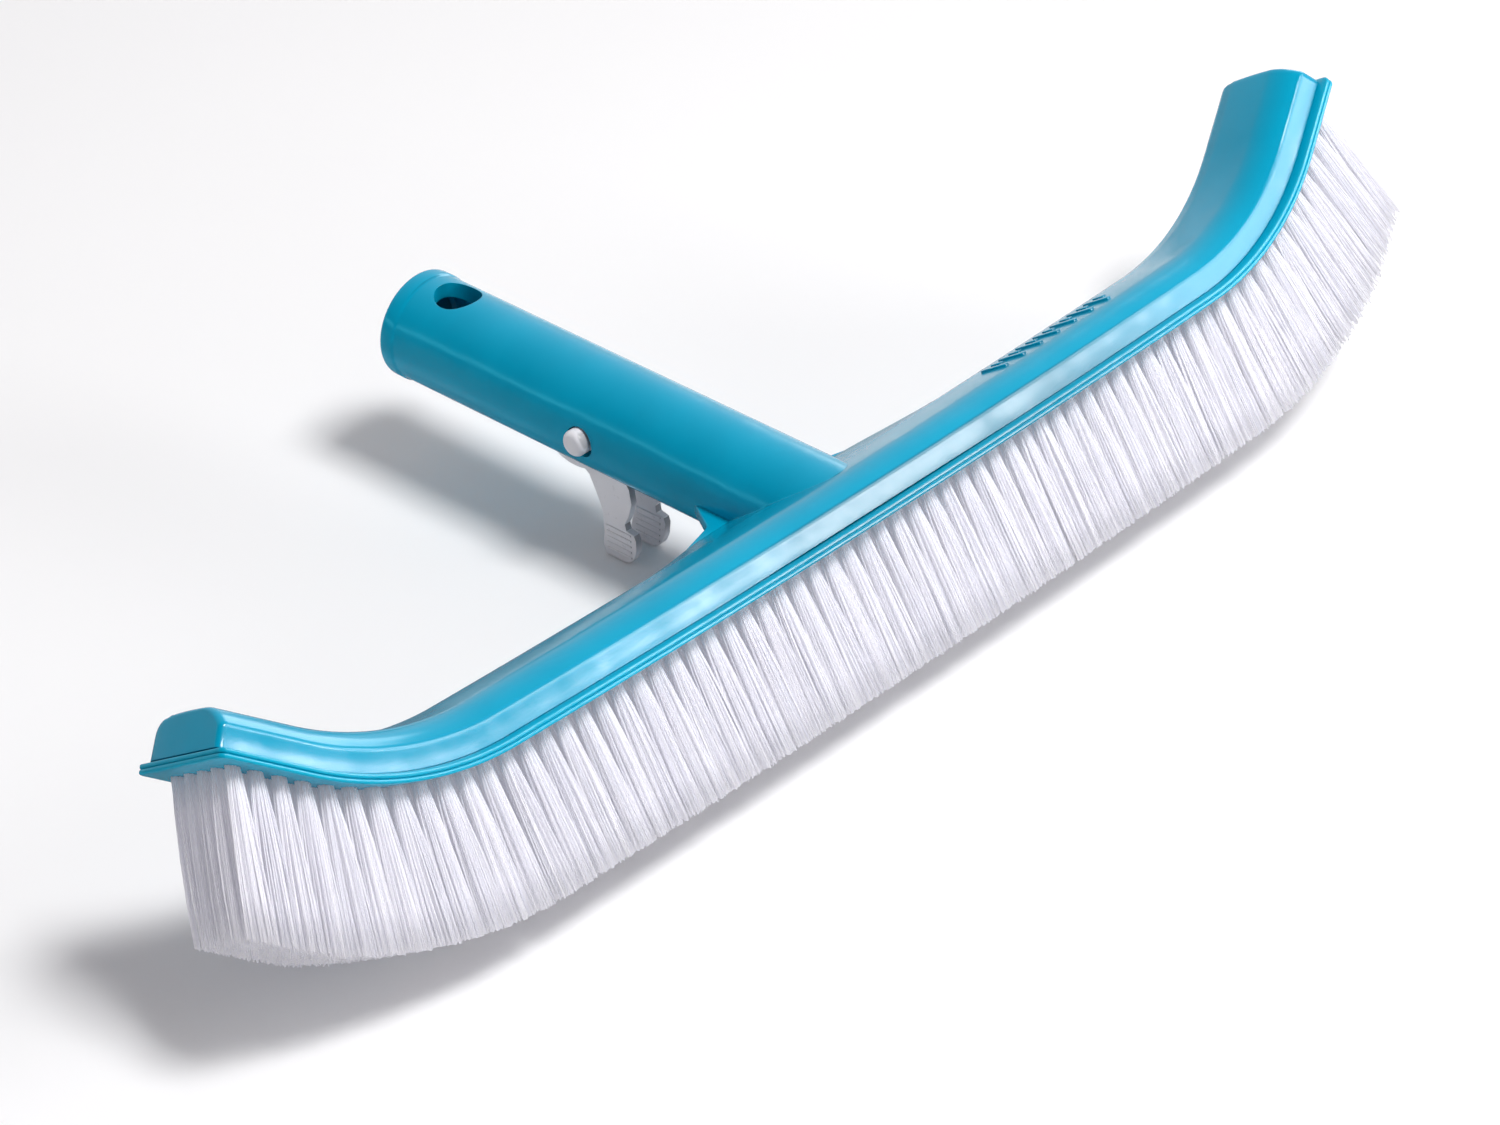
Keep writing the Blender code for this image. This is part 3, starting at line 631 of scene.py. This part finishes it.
def head_cuts():
    """Cavity, flat underside, bore, slot under the tube, hanging hole and pin holes."""
    cavity = inner_loft("cavity", CAVITY_END, HEAD_HALF_WIDTH - WALL_T,
                        foot=WALL_FOOT - 3 * MM, shoulder=WALL_TOP, top=CAVITY_TOP)
    scarf = place(box("scarf", SCARF_SIZE),
                  ORIGIN + DEPTH * (12.0 * MM) + RISE * (WALL_FOOT - SCARF_SIZE[2] / 2),
                  HEAD_TURN)
    bore_end, chamfer = TUBE_END_Y - END_WALL_T, 1.0 * MM
    bore = turned("bore", [(0.0, bore_end), (BORE_R - chamfer, bore_end),
                           (BORE_R, bore_end - chamfer), (BORE_R, BORE_START_Y),
                           (0.0, BORE_START_Y)], 96)
    place(bore, from_origin(0, 0, TUBE_Z), Z_TO_Y)
    x, near, far = SLOT_HALF - SLOT_ROUND, SLOT_START_Y + SLOT_ROUND, SLOT_END_Y - SLOT_ROUND
    outline = []
    for corner_x, corner_y, start in ((x, far, 0), (-x, far, 90), (-x, near, 180),
                                      (x, near, 270)):
        outline += arc(corner_x, corner_y, SLOT_ROUND, start, 90, 8)
    slot_height = 18 * MM
    slot = place(plate("slot", outline, slot_height),
                 from_origin(0, 0, SLOT_TOP_Z - slot_height / 2))
    hang = place(drill("hang", HANG_HOLE_R, 96), from_origin(0, HANG_HOLE_Y, TUBE_Z))
    pins = place(drill("pins", PIN_HOLE_R, 72),
                 from_origin(0, PIN_Y + PIN_HOLE_SHIFT_Y, CLIP_Z + PIN_HOLE_SHIFT_Z),
                 Matrix.Rotation(pi / 2, 4, "Y"))
    return [scarf, cavity, bore, slot, hang, pins]


def grip_marks():
    """Raised slanted marks on the right of the head's top, long and short in turn."""
    first, pitch, count = 66.5, 7.0, 7
    width, height, sunk = 1.5 * MM, 1.5 * MM, 0.15 * MM
    slant = Matrix.Rotation(radians(7), 4, "Z")
    marks = []
    for i in range(count):
        # x offset, length, depth offset
        for shift, length, back in ((0.0, 8.6 * MM, 0.0), (3.1 * MM, 3.6 * MM, 1.9 * MM)):
            x = (first + pitch * i) * MM + shift
            rise = HEAD_TOP + spine(x)[1] - sunk
            mark = bevel(box("mark", (width, length, height)), 0.2 * MM, 2)
            marks.append(place(mark, ORIGIN + RUN * x + DEPTH * (-0.2 * MM + back) + RISE * rise,
                               HEAD_TURN @ slant))
    return marks


def build_head():
    shell = head_shell()
    necks = [handle_tube(), neck_web(), neck_flare()]
    cuts = head_cuts()
    head = carve(shell, grip_marks() + necks, cuts)
    smooth(head)
    dress(head, TEAL, "brush", "head_and_handle")


# ------------------------------------------------------------------ bristle block
def build_block():
    """Flange with two round beads along its side, and a core that fills the head."""
    base = FLANGE_BOTTOM
    side = [(0.75 * MM, base)]      # (inset, rise)
    for centre, half in ((base + 0.62 * MM, 0.58 * MM), (base + 1.86 * MM, 0.60 * MM)):
        for i in range(9):
            y = i / 4 - 1
            side.append((0.05 * MM * y * y + 0.42 * MM * abs(y) ** 6, centre + half * y))
    side += [(0.75 * MM, base + 2.5 * MM), (1.15 * MM, FLANGE_TOP - 0.08 * MM),
             (1.9 * MM, FLANGE_TOP)]
    rings = []
    for run, rounding in stations(END_RUN, FLANGE_CORNER, 12):
        edge = FLANGE_HALF_WIDTH - rounding * FLANGE_CORNER
        across = 1 - rounding       # the corner's normal, across and along the head
        along = sqrt(max(0.0, 1 - (1 - rounding) ** 2)) * (1 if run > 0 else -1)
        ring = [(run - along * inset, edge - across * inset, rise) for inset, rise in side]
        ring += [(x, -y, z) for x, y, z in reversed(ring)]
        rings.append([head_point(*point) for point in ring])
    flange = loft("bristle_block_beaded", rings, strip_caps=True)
    core = inner_loft("core", CAVITY_END - 0.4 * MM, HEAD_HALF_WIDTH - WALL_T - CORE_GAP,
                      foot=FLANGE_TOP - 1.5 * MM, shoulder=WALL_TOP - 0.4 * MM, top=CORE_TOP)
    block = carve(flange, [core])
    smooth(block, 40)
    dress(block, BLOCK, "brush", "bristle_block")


# ------------------------------------------------------------------ tufts
def disc(count):
    """Evenly spread points in a unit disc."""
    golden = pi * (3 - sqrt(5))
    return [(sqrt((i + 0.5) / count) * cos(i * golden),
             sqrt((i + 0.5) / count) * sin(i * golden)) for i in range(count)]


def tuft_row_points(place_in_row):
    """Filament vertices and one tone per filament; the argument counts rows from the middle."""
    points, tones = [], []
    last_run = END_RUN - FIELD_END_INSET - TUFT_R
    half_pitch = last_run / (TUFTS - 1)
    spread_depth = ROW_HALF_TIP * 1.02
    for i in range(TUFTS):
        run = -last_run + 2 * last_run * i / (TUFTS - 1)
        slope = spine(run)[2]
        lean = slope * LEAN + rng.normal(0, 0.004)
        root = head_point(run, place_in_row * ROW_PITCH_ROOT, FLANGE_BOTTOM + TUFT_SUNK)
        down = (RUN * sin(lean) - RISE * cos(lean)).normalized()
        tangent = RUN * cos(slope) + RISE * sin(slope)
        free = (BRISTLE_LENGTH + TUFT_SUNK) / cos(slope - lean)
        drift = place_in_row * (ROW_PITCH_TIP - ROW_PITCH_ROOT) + rng.normal(0, 0.12) * MM
        spread_run = half_pitch * (1.12 + 0.08 * rng.random())
        if slope * (1 if run > 0 else -1) > 0.1:
            spread_run *= 1.2       # tufts fan wider on the bent ends
        turn = rng.random() * 2 * pi
        tuft_tone = rng.normal(0, 0.04)
        for x, y in disc(FILAMENTS):
            along = x * cos(turn) - y * sin(turn)
            across = x * sin(turn) + y * cos(turn)
            stray_run, stray_depth = rng.normal(0, 0.10, 2)
            short = abs(rng.normal(0, 0.2)) * MM
            bow_run, bow_depth = rng.normal(0, 0.16, 2) * MM
            root_run, root_depth = along * TUFT_R * 0.93, across * TUFT_R * 0.93
            tip_run = (along + stray_run) * spread_run
            tip_depth = (across + stray_depth) * spread_depth + drift
            length = free - min(short, 0.7 * MM)
            spin = rng.random() * 2 * pi
            for j in range(FILAMENT_NODES):
                t = j / (FILAMENT_NODES - 1)
                flare = 1 - (1 - t) ** 1.9      # tufts flare soon, then run straight
                off_run = root_run + (tip_run - root_run) * flare + bow_run * sin(pi * t)
                off_depth = (root_depth + (tip_depth - root_depth) * flare
                             + bow_depth * sin(pi * t))
                centre = root + down * (length * t) + tangent * off_run + DEPTH * off_depth
                for side in range(FILAMENT_SIDES):
                    angle = spin + side * 2 * pi / FILAMENT_SIDES
                    points.append(tuple(centre + tangent * (FILAMENT_R * cos(angle))
                                        + DEPTH * (FILAMENT_R * sin(angle))))
            tones.append(min(1.0, max(0.0, 0.62 + tuft_tone + rng.normal(0, 0.16))))
    return points, tones


def tuft_row(name, place_in_row):
    points, tones = tuft_row_points(place_in_row)
    sides, count = FILAMENT_SIDES, TUFTS * FILAMENTS
    per = FILAMENT_NODES * sides
    quads = np.array([(j * sides + c, j * sides + (c + 1) % sides,
                       (j + 1) * sides + (c + 1) % sides, (j + 1) * sides + c)
                      for j in range(FILAMENT_NODES - 1) for c in range(sides)])
    caps = np.array([(2, 1, 0), (per - 3, per - 2, per - 1)])
    starts = np.arange(count)[:, None, None] * per
    quads = (quads[None] + starts).reshape(-1, 4)
    caps = (caps[None] + starts).reshape(-1, 3)

    mesh = bpy.data.meshes.new(name)
    mesh.vertices.add(len(points))
    mesh.vertices.foreach_set("co", np.array(points, np.float32).ravel())
    loops = np.concatenate([quads.ravel(), caps.ravel()]).astype(np.int32)
    mesh.loops.add(len(loops))
    mesh.loops.foreach_set("vertex_index", loops)
    mesh.polygons.add(len(quads) + len(caps))
    mesh.polygons.foreach_set("loop_start", np.concatenate(
        [np.arange(len(quads)) * 4, quads.size + np.arange(len(caps)) * 3]).astype(np.int32))
    mesh.update(calc_edges=True)
    mesh.validate()
    mesh.shade_smooth()
    along = np.tile(np.repeat(np.linspace(0, 1, FILAMENT_NODES), sides), count)
    for attribute, values in (("tone", np.repeat(tones, per)), ("along", along)):
        layer = mesh.attributes.new(attribute, "FLOAT", "POINT")
        layer.data.foreach_set("value", values.astype(np.float32))
    return new_object(name, mesh)


# ------------------------------------------------------------------ locking clip
def leg_outline(arm_end):
    """(y, z) around the leg: its rounded shoulder, back edge, foot pad and front edge."""
    top = CLIP_Z - 2.6 * MM
    outline = [(92.5 * MM, top)]
    outline += arc(84.8 * MM, CLIP_Z - 10.2 * MM, 7.7 * MM, 0, 118.8, 12, radius_y=-3.9 * MM)
    outline += mm((79.7, -17.0), (77.9, -21.0), (75.8, -26.0), (75.6, -33.0), (76.2, -37.6))
    outline.append((75.2 * MM, LEG_FOOT_Z))
    outline += arc(69.0 * MM, LEG_FOOT_Z + 6.0 * MM, 4.5 * MM, 270, -90, 8, radius_y=6.0 * MM)
    outline += mm((64.4, -31.8), (65.0, -30.3), (67.6, -29.7), (68.0, -27.8),
                  (66.4, -24.6), (65.2, -20.4), (65.8, -16.0))
    front = arm_end + 0.4 * MM
    return outline + [(front, CLIP_Z - 8.0 * MM), (front, top)]


def clip_leg(side, arm_end):
    """The leg's outline stood up in Y and Z, splaying outwards as it rises."""
    splay = side * LEG_SPLAY
    stand = Matrix(((0, splay, 1, side * LEG_X + splay * SPLAY_DROP), (1, 0, 0, 0),
                    (0, 1, 0, 0), (0, 0, 0, 1)))
    return place(plate("leg", leg_outline(arm_end), CLIP_T - 0.2 * MM), ORIGIN, stand)


def clip_pin(side):
    root = ARM_X - 1.0 * MM
    reach = TUBE_R + PIN_PROUD - root
    dome = arc(PIN_R - PIN_ROUND, reach - PIN_ROUND, PIN_ROUND, 90, -90, 12)[1:]
    pin = turned("pin", [(0.0, reach)] + dome + [(PIN_R, 0.0), (0.0, 0.0)], 64)
    return place(pin, from_origin(side * root, PIN_Y, CLIP_Z),
                 Matrix.Rotation(side * pi / 2, 4, "Y"))


def pad_ribs(side):
    """Finger ribs across the pad's faces."""
    ribs = []
    for i in range(5):
        z = LEG_FOOT_Z + (2.2 + 1.75 * i) * MM
        rib = bevel(box("rib", (CLIP_T + 0.5 * MM, 8.6 * MM, 0.8 * MM)), 0.22 * MM, 2)
        x = side * (LEG_X + LEG_SPLAY * (z + SPLAY_DROP))
        ribs.append(place(rib, from_origin(x, 70.4 * MM, z)))
    return ribs


def clip_side(side, tag):
    """One half of the clip; side is -1 for left (-X) and 1 for right."""
    arm_end = PIN_Y - 7.2 * MM
    hinge_y = HINGE_Y - 0.2 * MM
    plan = [(HINGE_X + CLIP_T / 2, hinge_y), (ELBOW_X, 100.0 * MM),
            (ARM_X, PIN_Y + 8.0 * MM), (ARM_X, arm_end),
            (ARM_X - CLIP_T, arm_end), (ARM_X - CLIP_T, PIN_Y + 8.3 * MM),
            (ELBOW_X - CLIP_T, 100.5 * MM), (HINGE_X - CLIP_T / 2, hinge_y)]
    arm = plate("clip_spring_arm_" + tag, [(side * x, y) for x, y in plan], CLIP_HALF_H * 2)
    place(arm, from_origin(0, 0, CLIP_Z))
    arm = carve(arm, [clip_leg(side, arm_end), clip_pin(side)] + pad_ribs(side))
    smooth(arm)
    dress(arm, CLIP, tag + "_arm", "clip_arm_" + tag)


build_head()
build_block()
for row, tag in enumerate(("front", "second", "middle", "fourth", "back")):
    tufts = tuft_row("tuft_row_" + tag, row - (ROWS - 1) / 2)
    dress(tufts, NYLON, "brush", "bristle_row_" + tag)
clip_side(-1, "left")
clip_side(1, "right")
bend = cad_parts["clip_bend"]
bend.data.materials.clear()
bend.data.materials.append(CLIP)


# ------------------------------------------------------------------ stage
def studio_floor():
    bm = bmesh.new()
    bmesh.ops.create_grid(bm, x_segments=1, y_segments=1, size=6.0)
    floor = from_bmesh("studio_floor", bm)
    floor.location.z = -0.0003
    material, tree, shader = new_material("studio_white")
    coords = add(tree, "TexCoord").outputs["Object"]
    white = ramp(tree, noise(tree, coords, scale=3.0, detail=2.0), (0.90,) * 3, (0.92,) * 3)
    # painted reflection: glossy rays see the floor up to 82% black on the camera's side, so the
    # plastic mirrors a darker floor there
    distance = dot(tree, coords, (0.64, 0.77, 0.0))
    near = ease(tree, distance, (-0.02, 0.16), (0.82, 0.0))
    painted_dark_reflection = multiply(tree, add(tree, "LightPath").outputs["Is Glossy Ray"], near)
    feed(shader, {"Base Color": colour_mix(tree, painted_dark_reflection, white, BLACK),
                  "Roughness": 0.9, "Specular IOR Level": 0.1})
    floor.data.materials.append(material)


# ------------------------------------------------------------------ lights
LIGHT_AIM = Vector((0.0, -0.02, 0.03))
FRONT = Vector((0.617, -0.62, 0.45))
FRONT_UNIT = FRONT.normalized()
FRONT_SIDE = Vector((0, 0, 1)).cross(FRONT_UNIT).normalized()
FRONT_UP = FRONT_UNIT.cross(FRONT_SIDE)
GLINT_ONLY = ("diffuse", "transmission")


def softbox(name, direction, distance, size, power, shift=(0.0, 0.0), colour=(1, 1, 1),
            hidden=()):
    """Area light facing back along direction; shift moves it sideways and up as seen from
    the front softbox, and hidden lists the rays that don't see it."""
    away = Vector(direction).normalized()
    light = bpy.data.lights.new(name, "AREA")
    light.shape = "RECTANGLE"
    light.size, light.size_y = size
    light.energy = power
    light.color = colour
    lamp = new_object(name, light)
    lamp.location = LIGHT_AIM + away * distance + (FRONT_SIDE * shift[0] + FRONT_UP * shift[1])
    lamp.rotation_mode = "QUATERNION"
    lamp.rotation_quaternion = away.to_track_quat("Z", "Y")
    for ray in hidden:
        setattr(lamp, "visible_" + ray, False)


def studio_lights():
    softbox("key_softbox", (0.13, -0.45, 1.0), distance=1.9, size=(0.62, 0.55), power=29.5)
    softbox("front_fill", (0.616, -0.735, 0.30), distance=1.35, size=(0.62, 0.36), power=6.5,
            hidden=("glossy",))
    softbox("front_softbox", FRONT, distance=1.35, size=(0.58, 0.72), power=4.6,
            shift=(0.05, 0.0), hidden=GLINT_ONLY)
    # name, shift, size, power
    for name, shift, size, power in (("wall_glow", (-0.075, -0.16), (0.20, 0.42), 3.8),
                                     ("end_glow", (0.190, -0.13), (0.11, 0.42), 0.85),
                                     ("crease_box", (-0.02, 0.40), (1.1, 0.30), 6.5)):
        softbox(name, FRONT_UNIT, distance=1.30, size=size, power=power, shift=shift,
                hidden=GLINT_ONLY)
    softbox("left_strip", (-0.775, 0.605, 0.20), distance=1.5, size=(1.5, 0.14), power=1.9,
            colour=(0.35, 0.95, 1.0), hidden=GLINT_ONLY)
    softbox("right_softbox", (0.89, 0.33, 0.29), distance=1.4, size=(0.60, 0.60), power=4.0,
            hidden=GLINT_ONLY)


def studio_world():
    """Soft room light; reflections see a darker room with a bright far side."""
    world = bpy.data.worlds.new("studio_world")
    bpy.context.scene.world = world
    world.use_nodes = True
    tree = world.node_tree
    coords = add(tree, "TexCoord").outputs["Generated"]
    far_side = dot(tree, coords, Vector((0.62, 0.74, 0.25)).normalized())
    room = remap(tree, far_side, (0.2, 0.95), (0.34, 0.44))
    mirrored = remap(tree, far_side, (0.2, 0.95), (0.06, 0.90))
    glossy = add(tree, "LightPath").outputs["Is Glossy Ray"]
    strength = add(tree, "Mix", {"Factor": glossy, "A": room, "B": mirrored},
                   data_type="FLOAT").outputs["Result"]
    feed(tree.nodes["Background"], {"Strength": strength, "Color": (1.0, 0.965, 1.0, 1)})


def studio_camera():
    azimuth, elevation, roll = radians(-48.1), radians(33.97), radians(0.33)
    distance = 1321.3 * MM
    target = ORIGIN + Vector((-6.41, 25.27, -20.73)) * MM
    back = Vector((sin(azimuth) * cos(elevation), -cos(azimuth) * cos(elevation),
                   sin(elevation)))
    level = Vector((cos(azimuth), sin(azimuth), 0.0))
    upright = back.cross(level)
    right = level * cos(roll) - upright * sin(roll)
    up = upright * cos(roll) + level * sin(roll)
    lens = bpy.data.cameras.new("camera")
    lens.sensor_width = 36.0
    lens.lens = 126.1104
    lens.clip_start, lens.clip_end = 0.05, 30.0
    camera = new_object("camera", lens)
    location = target + back * distance
    camera.matrix_world = Matrix((*zip(right, up, back, location), (0, 0, 0, 1)))
    bpy.context.scene.camera = camera


studio_floor()
studio_lights()
studio_world()
studio_camera()
bpy.context.scene.view_settings.view_transform = "Standard"
